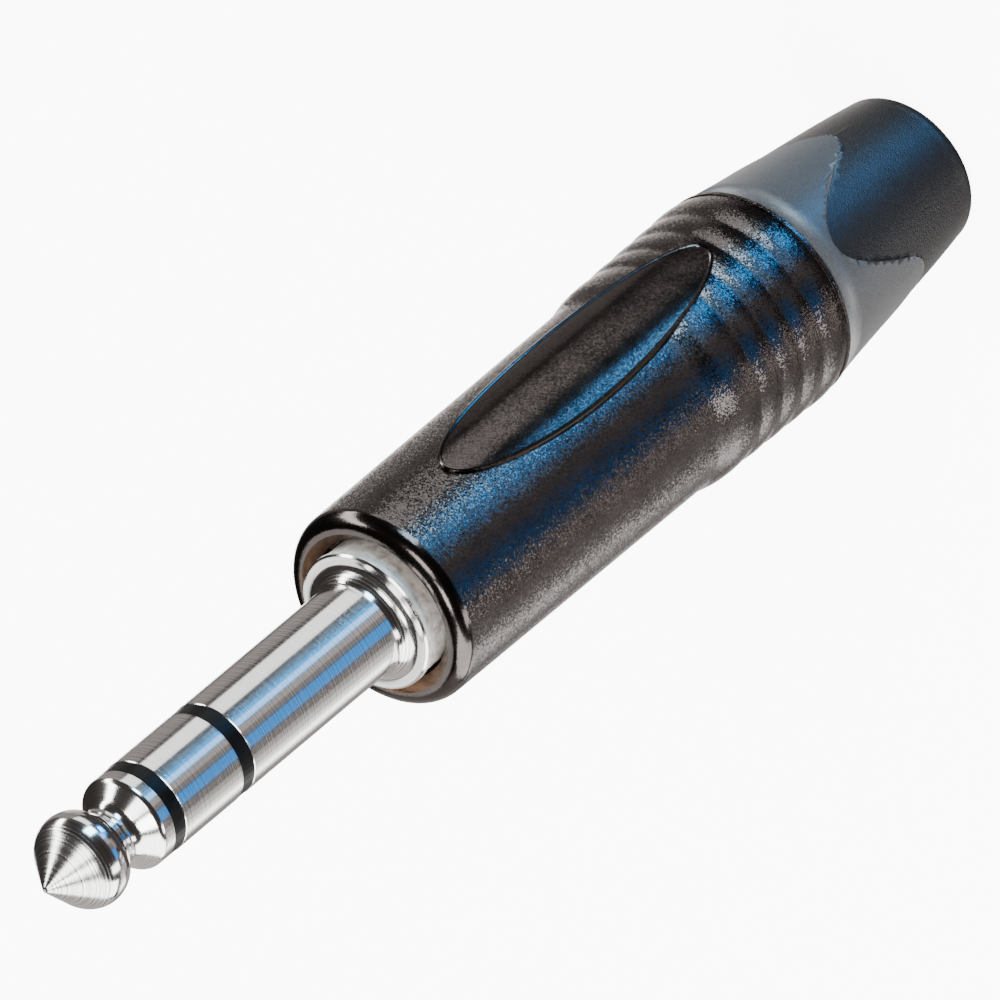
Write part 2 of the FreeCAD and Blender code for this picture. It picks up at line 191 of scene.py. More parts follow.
# Studio: angles go round the plug from the camera's side, and heights up from level
camera_side = -90
card_distance = 0.3
window_distance = 0.6
finger_band = (-0.182, -0.06)
shell_band = (-0.36, -0.184)
lobe_band = (-0.223, -0.206)
lobe_low_band = (-0.36, -0.225)
middle_height = 60 * mm
white = (1.0, 1.0, 1.0)
warm = (1.0, 0.93, 0.89)
wall_below = (0.065, 0.058, 0.055)
wall_above = (0.045, 0.037, 0.034)
floor_size = 8
floor_grey = 0.9
floor_glow = 9.0


def panel_light(name, place, aim, size, colour, glow, lights_matt=False):
    """A glowing rectangle that faces a point, of even brightness whatever its size."""
    lamp = bpy.data.lights.new(name, "AREA")
    lamp.shape = "RECTANGLE"
    lamp.size, lamp.size_y = size
    lamp.color = colour
    lamp.energy = glow * math.pi * size[0] * size[1]
    lamp_object = bpy.data.objects.new(name, lamp)
    lamp_object.location = place
    lamp_object.rotation_mode = "QUATERNION"
    lamp_object.rotation_quaternion = (Vector(place) - Vector(aim)).to_track_quat("Z", "Y")
    lamp_object.visible_camera = False
    lamp_object.visible_diffuse = lights_matt
    bpy.context.scene.collection.objects.link(lamp_object)


def card(name, turn, spread, band, colour, glow):
    """An upright card below the plug's foot, which the plug's sides mirror as a stripe."""
    angle = math.radians(camera_side + turn)
    bottom, top = band
    width = 2 * card_distance * math.tan(math.radians(spread / 2))
    middle = Vector((0, 0, (bottom + top) / 2))
    place = Vector((math.cos(angle), math.sin(angle), 0)) * card_distance + middle
    panel_light(name, place, middle, (width, top - bottom), colour, glow)


def window(name, turn, rise, size, colour, glow):
    """A soft box at a turn and a rise from the plug's middle; its size is in degrees across and up."""
    angle = math.radians(camera_side + turn)
    lift = math.radians(rise)
    aim = Vector((0, 0, middle_height))
    out = Vector((math.cos(angle) * math.cos(lift), math.sin(angle) * math.cos(lift), math.sin(lift)))
    across = 2 * window_distance * math.tan(math.radians(size[0] / 2))
    up = 2 * window_distance * math.tan(math.radians(size[1] / 2))
    panel_light(name, aim + out * window_distance, aim, (across, up), colour, glow, True)


def add_lights():
    card("back_card", 167, 18, finger_band, white, 4.5)
    card("grey_card_left", 122, 72, finger_band, warm, 0.30)
    card("pale_card", 65, 36, finger_band, white, 2.4)
    card("dim_card_left", 32, 12, finger_band, (0.6, 0.8, 1.0), 0.08)
    card("blue_card_left", 21, 8, finger_band, (0.0, 0.42, 1.0), 1.3)
    card("blue_card_pale", 10, 13, finger_band, (0.25, 0.55, 1.0), 3.0)
    card("grey_card_middle", -5, 14, finger_band, warm, 0.5)
    card("dim_card_middle", -18, 10, finger_band, warm, 0.22)
    card("blue_card_right", -37, 24, finger_band, (0.0, 0.34, 1.0), 1.15)
    card("dim_card_right", -59, 18, finger_band, warm, 0.10)
    card("white_card_low", -75, 12, finger_band, warm, 0.5)
    card("white_card_dim", -88, 14, finger_band, white, 1.0)
    card("white_card_mid", -101, 12, finger_band, white, 2.0)
    card("white_card_full", -115, 16, finger_band, white, 4.5)
    card("white_card_end", -128, 10, finger_band, white, 1.4)
    card("grey_card_right", -150, 34, finger_band, warm, 0.30)
    card("grey_card_back", -174, 16, finger_band, warm, 0.7)
    card("shell_blue", 21, 28, shell_band, (0.0, 0.30, 1.0), 2.0)
    card("shell_grey_low", 108, 30, shell_band, warm, 0.5)
    card("shell_grey_high", 140, 34, shell_band, warm, 1.0)
    card("shell_grey_back", 168, 22, shell_band, warm, 2.6)
    card("shell_dim", -18, 26, shell_band, warm, 0.35)
    card("shell_silver", -62, 16, shell_band, warm, 0.8)
    card("shell_warm", -88, 30, shell_band, warm, 0.6)
    card("shell_right", -135, 50, shell_band, warm, 0.45)
    card("shell_right_back", -171, 20, shell_band, warm, 1.4)
    card("lobe_blue", 27, 14, lobe_band, (0.16, 0.52, 1.0), 26)
    card("lobe_blue_low", 27, 18, lobe_low_band, (0.04, 0.40, 1.0), 9)
    card("lobe_silver", -62, 16, lobe_band, warm, 15)
    card("lobe_silver_low", -62, 20, lobe_low_band, warm, 7)
    window("window_left", 100, 14, (13, 62), white, 12)
    window("window_front_left", 34, -12, (18, 32), (0.55, 0.8, 1.0), 14)
    window("window_front_right", -60, -12, (16, 30), white, 6)
    window("window_top", 11, 56, (24, 20), white, 9)
    window("window_top_right", -50, 60, (20, 16), white, 14)
    window("window_right", -103, 18, (40, 66), white, 7)
    window("window_low_right", -150, 6, (44, 60), warm, 0.7)
    window("window_back", 180, 42, (34, 22), white, 2.4)


def add_world():
    """Dim warm studio walls, darker above than below."""
    world = bpy.data.worlds.new("studio")
    world.use_nodes = True
    nodes = world.node_tree.nodes
    links = world.node_tree.links
    nodes.clear()
    way = nodes.new("ShaderNodeTexCoord")
    split = nodes.new("ShaderNodeSeparateXYZ")
    ramp = nodes.new("ShaderNodeValToRGB")
    spread = nodes.new("ShaderNodeMapRange")
    walls = nodes.new("ShaderNodeBackground")
    out = nodes.new("ShaderNodeOutputWorld")
    spread.inputs["From Min"].default_value = -1.0
    ramp.color_ramp.elements[0].position = 0.28
    ramp.color_ramp.elements[0].color = (*wall_below, 1)
    ramp.color_ramp.elements[1].position = 0.42
    ramp.color_ramp.elements[1].color = (*wall_above, 1)
    links.new(way.outputs["Generated"], split.inputs["Vector"])
    links.new(split.outputs["Z"], spread.inputs["Value"])
    links.new(spread.outputs["Result"], ramp.inputs["Fac"])
    links.new(ramp.outputs["Color"], walls.inputs["Color"])
    links.new(walls.outputs["Background"], out.inputs["Surface"])
    bpy.context.scene.world = world


def add_floor():
    """A pale plain floor that glows white and isn't mirrored in the plug."""
    deselect()
    bpy.ops.mesh.primitive_plane_add(size=floor_size)
    floor = bpy.context.object
    floor.name = "floor"
    floor.visible_glossy = False
    floor.visible_diffuse = False
    floor.visible_shadow = False
    material, shader = new_material("floor_white")
    shader.inputs["Base Color"].default_value = (floor_grey, floor_grey, floor_grey, 1)
    shader.inputs["Roughness"].default_value = 0.9
    shader.inputs["Specular IOR Level"].default_value = 0.0
    shader.inputs["Emission Color"].default_value = (1, 1, 1, 1)
    shader.inputs["Emission Strength"].default_value = floor_glow
    floor.data.materials.append(material)


# Materials: grains, lumps and mottles are counted per metre
cast_lumps = 1600
nylon_mottle = 900
tin_mottle = 1500
chrome_cloud = 500
chrome_grain = 9000
chrome_flake = 0.075 * mm
panel_cloud = 700
panel_flake = 0.08 * mm
bushing_grain = 8000
boot_grain = 9000


def new_material(name):
    material = bpy.data.materials.new(name)
    material.use_nodes = True
    shader = material.node_tree.nodes["Principled BSDF"]
    return material, shader


def object_point(material):
    return material.node_tree.nodes.new("ShaderNodeTexCoord").outputs["Object"]


def number(material, operation, first, second=None):
    """A math node on one or two values."""
    node = material.node_tree.nodes.new("ShaderNodeMath")
    node.operation = operation
    for socket, value in zip(node.inputs, (first, second)):
        if value is None:
            continue
        if isinstance(value, (int, float)):
            socket.default_value = value
        else:
            material.node_tree.links.new(value, socket)
    return node.outputs["Value"]


def grain(material, place, scale, detail=2.0):
    """Soft noise of a given number of grains per metre."""
    node = material.node_tree.nodes.new("ShaderNodeTexNoise")
    node.inputs["Scale"].default_value = scale
    node.inputs["Detail"].default_value = detail
    material.node_tree.links.new(place, node.inputs["Vector"])
    return node.outputs["Fac"]


def turned_marks(material, pitch):
    """Random rings round the axis, as a lathe tool leaves them, on walls and on end faces alike."""
    nodes = material.node_tree.nodes
    links = material.node_tree.links
    split = nodes.new("ShaderNodeSeparateXYZ")
    links.new(object_point(material), split.inputs["Vector"])
    across = number(material, "MULTIPLY", split.outputs["X"], split.outputs["X"])
    along = number(material, "MULTIPLY", split.outputs["Y"], split.outputs["Y"])
    radius = number(material, "SQRT", number(material, "ADD", across, along))
    place = number(material, "SUBTRACT", split.outputs["Z"], radius)
    noise = nodes.new("ShaderNodeTexNoise")
    noise.noise_dimensions = "1D"
    noise.inputs["Scale"].default_value = 1 / pitch
    noise.inputs["Detail"].default_value = 3.0
    links.new(place, noise.inputs["W"])
    return noise.outputs["Fac"]


def spread_value(material, value, darkest, brightest):
    node = material.node_tree.nodes.new("ShaderNodeMapRange")
    node.inputs["To Min"].default_value = darkest
    node.inputs["To Max"].default_value = brightest
    material.node_tree.links.new(value, node.inputs["Value"])
    return node.outputs["Result"]


def tint(material, shader, value, first, second, begin=0.3, end=0.7):
    """The base colour runs from the first to the second colour with the value."""
    ramp = material.node_tree.nodes.new("ShaderNodeValToRGB")
    ramp.color_ramp.elements[0].position = begin
    ramp.color_ramp.elements[1].position = end
    ramp.color_ramp.elements[0].color = (*first, 1)
    ramp.color_ramp.elements[1].color = (*second, 1)
    material.node_tree.links.new(value, ramp.inputs["Fac"])
    material.node_tree.links.new(ramp.outputs["Color"], shader.inputs["Base Color"])


def roughen(material, shader, value, smooth, rough):
    material.node_tree.links.new(spread_value(material, value, smooth, rough), shader.inputs["Roughness"])


def emboss(material, shader, value, depth, strength=1.0):
    bump = material.node_tree.nodes.new("ShaderNodeBump")
    bump.inputs["Distance"].default_value = depth
    bump.inputs["Strength"].default_value = strength
    material.node_tree.links.new(value, bump.inputs["Height"])
    material.node_tree.links.new(bump.outputs["Normal"], shader.inputs["Normal"])


def nickel_material(name, pitch=0.11 * mm, depth=0.0004 * mm, smooth=0.08, rough=0.20, dark=0.58):
    """Nickel plating over turned brass."""
    material, shader = new_material(name)
    shader.inputs["Metallic"].default_value = 1.0
    marks = turned_marks(material, pitch)
    tint(material, shader, marks, (dark, dark * 0.97, dark * 0.94), (0.88, 0.87, 0.85))
    roughen(material, shader, marks, smooth, rough)
    emboss(material, shader, marks, depth)
    return material


def rough_nickel_material():
    """Nickel over a wall left as cast, pale and uneven."""
    material, shader = new_material("nickel_rough")
    shader.inputs["Metallic"].default_value = 0.35
    place = object_point(material)
    lumps = grain(material, place, cast_lumps, 3.0)
    tint(material, shader, lumps, (0.62, 0.60, 0.55), (0.98, 0.97, 0.93), 0.35, 0.6)
    roughen(material, shader, lumps, 0.42, 0.62)
    emboss(material, shader, lumps, 0.09 * mm)
    return material


def insulator_material(name, dark, light, rough):
    """Moulded nylon with a faint flow mottle."""
    material, shader = new_material(name)
    mottle = grain(material, object_point(material), nylon_mottle, 3.0)
    tint(material, shader, mottle, dark, light)
    roughen(material, shader, mottle, rough * 0.8, rough * 1.2)
    shader.inputs["Specular IOR Level"].default_value = 0.12
    emboss(material, shader, mottle, 0.01 * mm)
    return material


def tag_material():
    """Tinned brass strip with a soft mottle."""
    material, shader = new_material("tinned_strip")
    shader.inputs["Metallic"].default_value = 1.0
    mottle = grain(material, object_point(material), tin_mottle, 2.0)
    tint(material, shader, mottle, (0.62, 0.61, 0.58), (0.78, 0.77, 0.74))
    roughen(material, shader, mottle, 0.28, 0.45)
    emboss(material, shader, mottle, 0.004 * mm)
    return material


def flakes(material, shader, place, size, tilt):
    """Tiny facets of one size, each leaning its own way, so that single ones flash."""
    nodes = material.node_tree.nodes
    links = material.node_tree.links
    cells = nodes.new("ShaderNodeTexVoronoi")
    cells.inputs["Scale"].default_value = 1 / size
    links.new(place, cells.inputs["Vector"])
    centred = nodes.new("ShaderNodeVectorMath")
    centred.operation = "SUBTRACT"
    centred.inputs[1].default_value = (0.5, 0.5, 0.5)
    links.new(cells.outputs["Color"], centred.inputs[0])
    lean = nodes.new("ShaderNodeVectorMath")
    lean.operation = "SCALE"
    lean.inputs["Scale"].default_value = 2 * tilt
    links.new(centred.outputs["Vector"], lean.inputs[0])
    surface = nodes.new("ShaderNodeNewGeometry")
    total = nodes.new("ShaderNodeVectorMath")
    total.operation = "ADD"
    links.new(surface.outputs["Normal"], total.inputs[0])
    links.new(lean.outputs["Vector"], total.inputs[1])
    unit = nodes.new("ShaderNodeVectorMath")
    unit.operation = "NORMALIZE"
    links.new(total.outputs["Vector"], unit.inputs[0])
    links.new(unit.outputs["Vector"], shader.inputs["Normal"])


def shell_material():
    """Black chrome over a fine blasted grain."""
    material, shader = new_material("black_chrome")
    shader.inputs["Metallic"].default_value = 1.0
    place = object_point(material)
    cloud = grain(material, place, chrome_cloud, 2.0)
    tint(material, shader, cloud, (0.082, 0.072, 0.069), (0.105, 0.092, 0.088))
    roughen(material, shader, grain(material, place, chrome_grain, 2.0), 0.13, 0.24)
    flakes(material, shader, place, chrome_flake, 0.10)
    return material


def panel_material(name, dark, light):
    """The same black chrome, smooth where the panels and the mouth were polished before plating; the
    mouth's copy carries a brown tint that is a painted reflection.
    """
    material, shader = new_material(name)
    shader.inputs["Metallic"].default_value = 1.0
    place = object_point(material)
    cloud = grain(material, place, panel_cloud, 3.0)
    tint(material, shader, cloud, dark, light)
    roughen(material, shader, cloud, 0.12, 0.2)
    flakes(material, shader, place, panel_flake, 0.022)
    return material


def bushing_material():
    """Grey nylon with a spark-eroded mould finish."""
    material, shader = new_material("grey_nylon")
    place = object_point(material)
    speck = grain(material, place, bushing_grain, 2.0)
    tint(material, shader, speck, (0.085, 0.085, 0.09), (0.125, 0.125, 0.13))
    roughen(material, shader, speck, 0.30, 0.44)
    shader.inputs["Specular IOR Level"].default_value = 0.9
    emboss(material, shader, speck, 0.02 * mm)
    return material


def boot_material():
    """Soft black boot with a fine matt skin."""
    material, shader = new_material("black_boot_skin")
    place = object_point(material)
    speck = grain(material, place, boot_grain, 2.0)
    tint(material, shader, speck, (0.007, 0.006, 0.006), (0.020, 0.018, 0.018))
    roughen(material, shader, speck, 0.30, 0.45)
    shader.inputs["Specular IOR Level"].default_value = 0.8
    emboss(material, shader, speck, 0.035 * mm)
    return material


# Modelling
def deselect():
    if bpy.context.object and bpy.context.object.mode != "OBJECT":
        bpy.ops.object.mode_set(mode="OBJECT")
    bpy.ops.object.select_all(action="DESELECT")


def pick(piece):
    deselect()
    piece.select_set(True)
    bpy.context.view_layer.objects.active = piece


def finish_piece(piece, node, material=None):
    """Gives a piece its material and body, and lets it stand for its node."""
    if material:
        piece.data.materials.clear()
        piece.data.materials.append(material)
    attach(piece, body_of[node])
    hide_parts(node)
    return piece


def turned_piece(name, outline, steps=turning_steps):
    """A closed outline of (radius, height) points, drawn point by point and spun about the axis."""
    deselect()
    bpy.ops.mesh.primitive_plane_add(size=1 * mm)
    piece = bpy.context.object
    piece.name = name
    bpy.ops.object.mode_set(mode="EDIT")
    bpy.ops.mesh.select_all(action="SELECT")
    bpy.ops.mesh.merge(type="CENTER")
    first = Vector((outline[0][0], 0, outline[0][1]))
    bpy.ops.transform.translate(value=first)
    for start, end in zip(outline, outline[1:] + outline[:1]):
        step = Vector((end[0] - start[0], 0, end[1] - start[1]))
        bpy.ops.mesh.extrude_vertices_move(TRANSFORM_OT_translate={"value": step})
    bpy.ops.mesh.select_all(action="SELECT")
    bpy.ops.mesh.remove_doubles(threshold=outline_merge_distance)
    bpy.ops.mesh.spin(steps=steps, angle=2 * math.pi, center=(0, 0, 0), axis=(0, 0, 1))
    bpy.ops.mesh.select_all(action="SELECT")
    bpy.ops.mesh.remove_doubles(threshold=merge_distance)
    bpy.ops.mesh.normals_make_consistent(inside=False)
    bpy.ops.object.mode_set(mode="OBJECT")
    bpy.ops.object.shade_smooth_by_angle(angle=math.radians(turned_angle))
    return piece


def smooth_copy(node, name):
    """A node's own form with its triangles joined, so that its round walls shade smoothly."""
    mesh = frame["nodes"][node].data.copy()
    piece = bpy.data.objects.new(name, mesh)
    bpy.context.scene.collection.objects.link(piece)
    pick(piece)
    bpy.ops.object.mode_set(mode="EDIT")
    bpy.ops.mesh.select_all(action="SELECT")
    bpy.ops.mesh.remove_doubles(threshold=merge_distance)
    bpy.ops.object.mode_set(mode="OBJECT")
    bpy.ops.object.shade_smooth_by_angle(angle=math.radians(copied_angle))
    return piece


def touch_points(first, second):
    """Where a straight line touches two circles (radius, height, curve); a hollow's curve is negative."""
    across = second[0] - first[0]
    down = second[1] - first[1]
    length = math.hypot(across, down)
    lean = (first[2] - second[2]) / length
    side = math.sqrt(1 - lean * lean)
    normal_r = (lean * across - side * down) / length
    normal_z = (lean * down + side * across) / length
    points = []
    for centre_r, centre_z, curve_radius in (first, second):
        points.append((centre_r + curve_radius * normal_r, centre_z + curve_radius * normal_z))
    return points


def round_between(circle, start, end, steps=arc_steps):
    """Points on a circle (radius, height, curve), by the short way from one point on it to another."""
    centre_r, centre_z, curve_radius = circle
    begin = math.atan2(start[1] - centre_z, start[0] - centre_r)
    turn = math.atan2(end[1] - centre_z, end[0] - centre_r) - begin
    turn = (turn + math.pi) % (2 * math.pi) - math.pi
    points = []
    for number_of_step in range(steps + 1):
        angle = begin + turn * number_of_step / steps
        size = abs(curve_radius)
        points.append((centre_r + size * math.cos(angle), centre_z + size * math.sin(angle)))
    return points


def tip_outline():
    """The tip from its point back over ball, neck and bead, and its rod to the riveted head."""
    apex = high("tip_contact")
    rear = high("tip_spacer")
    bead_radius = reach("tip_spacer")
    nose = (0, apex - nose_curve, nose_curve)
    ball = (bead_radius - ball_curve, apex - ball_depth, ball_curve)
    neck = (neck_radius + neck_curve, apex - neck_depth, -neck_curve)
    bead = (bead_radius - bead_curve, rear + bead_land, bead_curve)
    cone_top, cone_low = touch_points(nose, ball)
    back_top, back_low = touch_points(ball, neck)
    ramp_top, ramp_low = touch_points(neck, bead)
    outline = round_between(nose, (0, apex), cone_top)
    outline += round_between(ball, cone_low, back_top, 2 * arc_steps)
    outline += round_between(neck, back_low, ramp_top)
    outline += round_between(bead, ramp_low, (bead_radius, bead[1]))
    rod_end = low("tip_contact")
    outline += [(bead_radius, rear + contact_edge), (bead_radius - contact_edge, rear)]
    outline += [(rod_radius, rear), (rod_radius, rod_end + rod_head_height)]
    outline += [(rod_head_radius, rod_end + rod_head_height), (rod_head_radius, rod_end), (0, rod_end)]
    return outline


def ring_outline():
    """The ring with a small bright chamfer at each edge, and its tube that runs back in the finger."""
    radius = reach("ring_contact")
    bottom = high("ring_spacer")
    top = high("ring_contact")
    tail = low("ring_contact")
    edge = contact_edge
    return [
        (ring_bore, tail), (ring_tube_radius, tail), (ring_tube_radius, bottom),
        (radius - edge, bottom), (radius, bottom + edge), (radius, top - edge),
        (radius - edge, top), (ring_bore, top),
    ]


def sleeve_outline():
    """The long sleeve with its hollow foot, the collar, the flange in the shell and the spigot."""
    radius = reach("ring_contact")
    top = high("sleeve_contact")
    bottom = low("sleeve_contact")
    flange = reach("sleeve_contact")
    flange_front = high("insert_block") + flange_thickness + tag_thickness
    face = high("shell") + collar_stand
    edge = contact_edge
    hollow = (radius + foot_fillet, face + foot_fillet, -foot_fillet)
    outline = [(sleeve_bore, top), (radius - edge, top), (radius, top - edge)]
    outline += round_between(hollow, (radius, hollow[1]), (hollow[0], face))
    outline += [(collar_radius - collar_edge, face), (collar_radius, face - collar_edge)]
    outline += [(collar_radius, face - collar_rim), (collar_wall_radius, face - collar_rim)]
    outline += [(collar_wall_radius, flange_front), (flange, flange_front)]
    flange_back = flange_front - flange_thickness
    outline += [(flange, flange_back), (spigot_radius, flange_back)]
    outline += [(spigot_radius, bottom), (sleeve_bore, bottom)]
    return outline


def mark_faces(piece, material, inner, outer, bottom, top):
    """Gives a further material to the faces between two radii and two heights."""
    piece.data.materials.append(material)
    number_of_slot = len(piece.data.materials) - 1
    for face in piece.data.polygons:
        middle = face.center
        if inner < math.hypot(middle.x, middle.y) < outer and bottom < middle.z < top:
            face.material_index = number_of_slot


def bowed(start, end, peak, steps=8):
    """Points on a shallow bow between two (radius, height) places, with the given radius half-way."""
    bulge = peak - (start[0] + end[0]) / 2
    points = []
    for number_of_step in range(steps + 1):
        share = number_of_step / steps
        bow = bulge * 4 * share * (1 - share)
        radius = start[0] + (end[0] - start[0]) * share + bow
        points.append((radius, start[1] + (end[1] - start[1]) * share))
    return points


def swelling(start, end, steps=12):
    """A soft S-shaped rise from one (radius, height) place to another."""
    points = []
    for number_of_step in range(steps + 1):
        share = number_of_step / steps
        soft = share * share * (3 - 2 * share)
        radius = start[0] + (end[0] - start[0]) * soft
        points.append((radius, start[1] + (end[1] - start[1]) * share))
    return points


def lobe_radius(height):
    """The radius of the lobes' crests at a height, a little larger towards the rear."""
    top = low("shell") + swell_start - swell_rise
    share = (top - height) / (top - low("shell"))
    return first_lobe_radius + (last_lobe_radius - first_lobe_radius) * share


def shell_outline():
    """The shell's section, from the mouth over lip, grip and lobes to the rear and back up the bore."""
    front = high("shell")
    rear = low("shell")
    radius = mouth_radius + mouth_chamfer + lip_flat + lip_radius
    lip = (radius - lip_radius, front - lip_radius, lip_radius)
    swell_low = rear + swell_start
    outline = [(mouth_radius + mouth_chamfer, front)]
    outline += round_between(lip, (lip[0], front), (radius, lip[1]))
    outline += swelling((grip_rear_radius, swell_low), (first_lobe_radius, swell_low - swell_rise))
    last = outline[-1]
    for number_of_groove in reversed(range(groove_count)):
        height = rear + last_lobe_width + groove_pitch * number_of_groove
        floor = lobe_radius(height) - groove_depth
        groove_top = height + groove_width / 2
        outline += bowed(last, (floor, groove_top), lobe_radius((last[1] + groove_top) / 2))[1:]
        last = (floor, height - groove_width / 2)
        outline.append(last)
    end = (rear_edge_radius - rim_step, rear + rim_width)
    outline += bowed(last, end, lobe_radius((last[1] + end[1]) / 2))[1:]
    outline += [(rear_edge_radius, rear + rim_width), (rear_edge_radius, rear)]
    outline += [(thread_bore, rear), (thread_bore, rear + thread_depth)]
    outline += [(shell_bore, rear + thread_depth), (shell_bore, front - mouth_depth)]
    outline += [(mouth_radius, front - mouth_depth), (mouth_radius, front - mouth_chamfer)]
    return outline


def combine(piece, tool, operation):
    """Cuts the tool out of the piece, joins it on or keeps what they share, and removes the tool."""
    pick(piece)
    bpy.ops.object.modifier_add(type="BOOLEAN")
    change = piece.modifiers[-1]
    change.operation = operation
    change.solver = "MANIFOLD"
    change.object = tool
    bpy.ops.object.modifier_apply(modifier=change.name)
    pick(tool)
    bpy.ops.object.delete()
    return piece


def turned_copy(piece, angle):
    """A copy of a piece, turned about the plug's axis."""
    twin = piece.copy()
    twin.data = piece.data.copy()
    bpy.context.scene.collection.objects.link(twin)
    twin.rotation_euler.z = math.radians(angle)
    pick(twin)
    bpy.ops.object.transform_apply(location=True, rotation=True, scale=True)
    return twin


def panel_oval(name, distance, inset, filled):
    """The panel's border in a plane across +X, blunt in front and longer behind."""
    widest = high("shell") - panel_front_gap - panel_front_length
    half_width = panel_half_width - inset
    deselect()
    bpy.ops.mesh.primitive_circle_add(
        vertices=oval_steps, radius=half_width, location=(distance, 0, widest),
        rotation=(0, math.pi / 2, 0), fill_type="NGON" if filled else "NOTHING")
    oval = bpy.context.object
    oval.name = name
    bpy.ops.object.transform_apply(location=True, rotation=True, scale=True)
    for side, length in ((1, panel_front_length - inset), (-1, panel_rear_length - inset)):
        bpy.ops.object.mode_set(mode="OBJECT")
        for point in oval.data.vertices:
            point.select = (point.co.z - widest) * side > hair
        for edge in oval.data.edges:
            edge.select = False
        for face in oval.data.polygons:
            face.select = False
        bpy.ops.object.mode_set(mode="EDIT")
        bpy.ops.mesh.select_mode(type="VERT")
        bpy.ops.transform.resize(value=(1, 1, length / half_width), center_override=(0, 0, widest))
    bpy.ops.object.mode_set(mode="OBJECT")
    return oval


def panel_prism(name, inset):
    """A prism through the shell's wall with the panel's outline."""
    prism = panel_oval(name, panel_root - overrun, inset, True)
    pick(prism)
    bpy.ops.object.mode_set(mode="EDIT")
    bpy.ops.mesh.select_all(action="SELECT")
    length = last_lobe_radius - panel_root + 2 * overrun
    bpy.ops.mesh.extrude_region_move(TRANSFORM_OT_translate={"value": (length, 0, 0)})
    bpy.ops.mesh.select_all(action="SELECT")
    bpy.ops.mesh.normals_make_consistent(inside=False)
    bpy.ops.object.mode_set(mode="OBJECT")
    return prism


def panel_line():
    """The two ends of the panel's surface, as (radius, height)."""
    front = high("shell") - panel_front_gap + overrun
    rear = front - panel_front_length - panel_rear_length - 2 * overrun
    grip_length = high("shell") - low("shell") - swell_start
    front_radius = mouth_radius + mouth_chamfer + lip_flat + lip_radius
    taper = (grip_rear_radius - front_radius) * (high("shell") - front) / grip_length
    return (front_radius + taper + panel_front_rise, front), (panel_rear_radius, rear)


def panel_bead():
    """The thin rounded bead round a panel, swept along the oval where it lies on the panel's surface."""
    front, rear = panel_line()
    guide = [(0, rear[1]), rear, front, (0, front[1])]
    cone = turned_piece("bead_guide", guide, bead_guide_steps)
    bead = panel_oval("panel_bead", last_lobe_radius + overrun, bead_tube, False)
    pick(bead)
    bpy.ops.object.modifier_add(type="SHRINKWRAP")
    wrap = bead.modifiers[-1]
    wrap.target = cone
    wrap.wrap_method = "PROJECT"
    wrap.use_project_x = True
    wrap.use_negative_direction = True
    wrap.use_positive_direction = False
    bpy.ops.object.modifier_apply(modifier=wrap.name)
    pick(cone)
    bpy.ops.object.delete()
    pick(bead)
    bpy.ops.object.mode_set(mode="EDIT")
    bpy.ops.mesh.select_all(action="SELECT")
    bpy.ops.transform.translate(value=(-bead_sink, 0, 0))
    bpy.ops.object.mode_set(mode="OBJECT")
    bpy.ops.object.convert(target="CURVE")
    bead = bpy.context.object
    bead.data.bevel_depth = bead_tube
    bead.data.bevel_resolution = bead_rounding
    bpy.ops.object.convert(target="MESH")
    bead = bpy.context.object
    bpy.ops.object.mode_set(mode="EDIT")
    bpy.ops.mesh.select_all(action="SELECT")
    bpy.ops.mesh.remove_doubles(threshold=hair / 10)
    bpy.ops.mesh.normals_make_consistent(inside=False)
    bpy.ops.object.mode_set(mode="OBJECT")
    return bead


def on_panel(place, widest):
    """Whether a place on the shell lies within one of the two ovals, which are widest at a height."""
    along = place.z - widest
    length = panel_front_length if along > 0 else panel_rear_length
    for angle in panel_angles:
        turn = math.radians(angle)
        out = place.x * math.cos(turn) + place.y * math.sin(turn)
        across = place.y * math.cos(turn) - place.x * math.sin(turn)
        if out > panel_root and (across / panel_half_width) ** 2 + (along / length) ** 2 < 1:
            return True
    return False


def shell_piece(grip_material, smooth_material, mouth_painted_reflection_material):
    """The shell, turned, with its key ways cut and its two oval panels set in."""
    shell = turned_piece("shell_turned", shell_outline(), shell_steps)
    shell.data.materials.append(grip_material)
    shell.data.materials.append(smooth_material)
    front, rear = panel_line()
    far = last_lobe_radius + overrun
    lower = [(front[0] - hair, front[1]), (far, front[1]), (far, rear[1]), (rear[0] - hair, rear[1])]
    upper = [front, (panel_root, front[1]), (panel_root, rear[1]), rear]
    bed = panel_prism("panel_bed", 0)
    combine(bed, turned_piece("bed_ring", lower, 2 * shell_steps), "INTERSECT")
    pad = panel_prism("panel_pad", hair)
    combine(pad, turned_piece("pad_ring", upper, 2 * shell_steps), "INTERSECT")
    bead = panel_bead()
    for tool, operation in ((bed, "DIFFERENCE"), (pad, "UNION"), (bead, "UNION")):
        for angle in panel_angles:
            combine(shell, turned_copy(tool, angle), operation)
        pick(tool)
        bpy.ops.object.delete()
    middle = low("shell") + key_way_length / 2
    deselect()
    bpy.ops.mesh.primitive_cube_add(
        size=1, location=(0, 0, middle - overrun / 2),
        scale=(2 * thread_bore, key_way_width, key_way_length + overrun))
    way = bpy.context.object
    bpy.ops.object.transform_apply(location=True, rotation=True, scale=True)
    combine(shell, way, "DIFFERENCE")
    front_face = high("shell")
    widest = front_face - panel_front_gap - panel_front_length
    for face in shell.data.polygons:
        on_lip = face.center.z > front_face - lip_radius * polished_lip_share
        face.material_index = 1 if on_lip or on_panel(face.center, widest) else 0
    # The mouth's chamfer takes the brown painted reflection.
    mouth_edge = mouth_radius + mouth_chamfer - hair
    mark_faces(shell, mouth_painted_reflection_material, 0, mouth_edge, front_face - mouth_depth, front_face)
    pick(shell)
    bpy.ops.object.shade_smooth_by_angle(angle=math.radians(shell_angle))
    return shell


add_camera()
add_world()
add_lights()
add_floor()

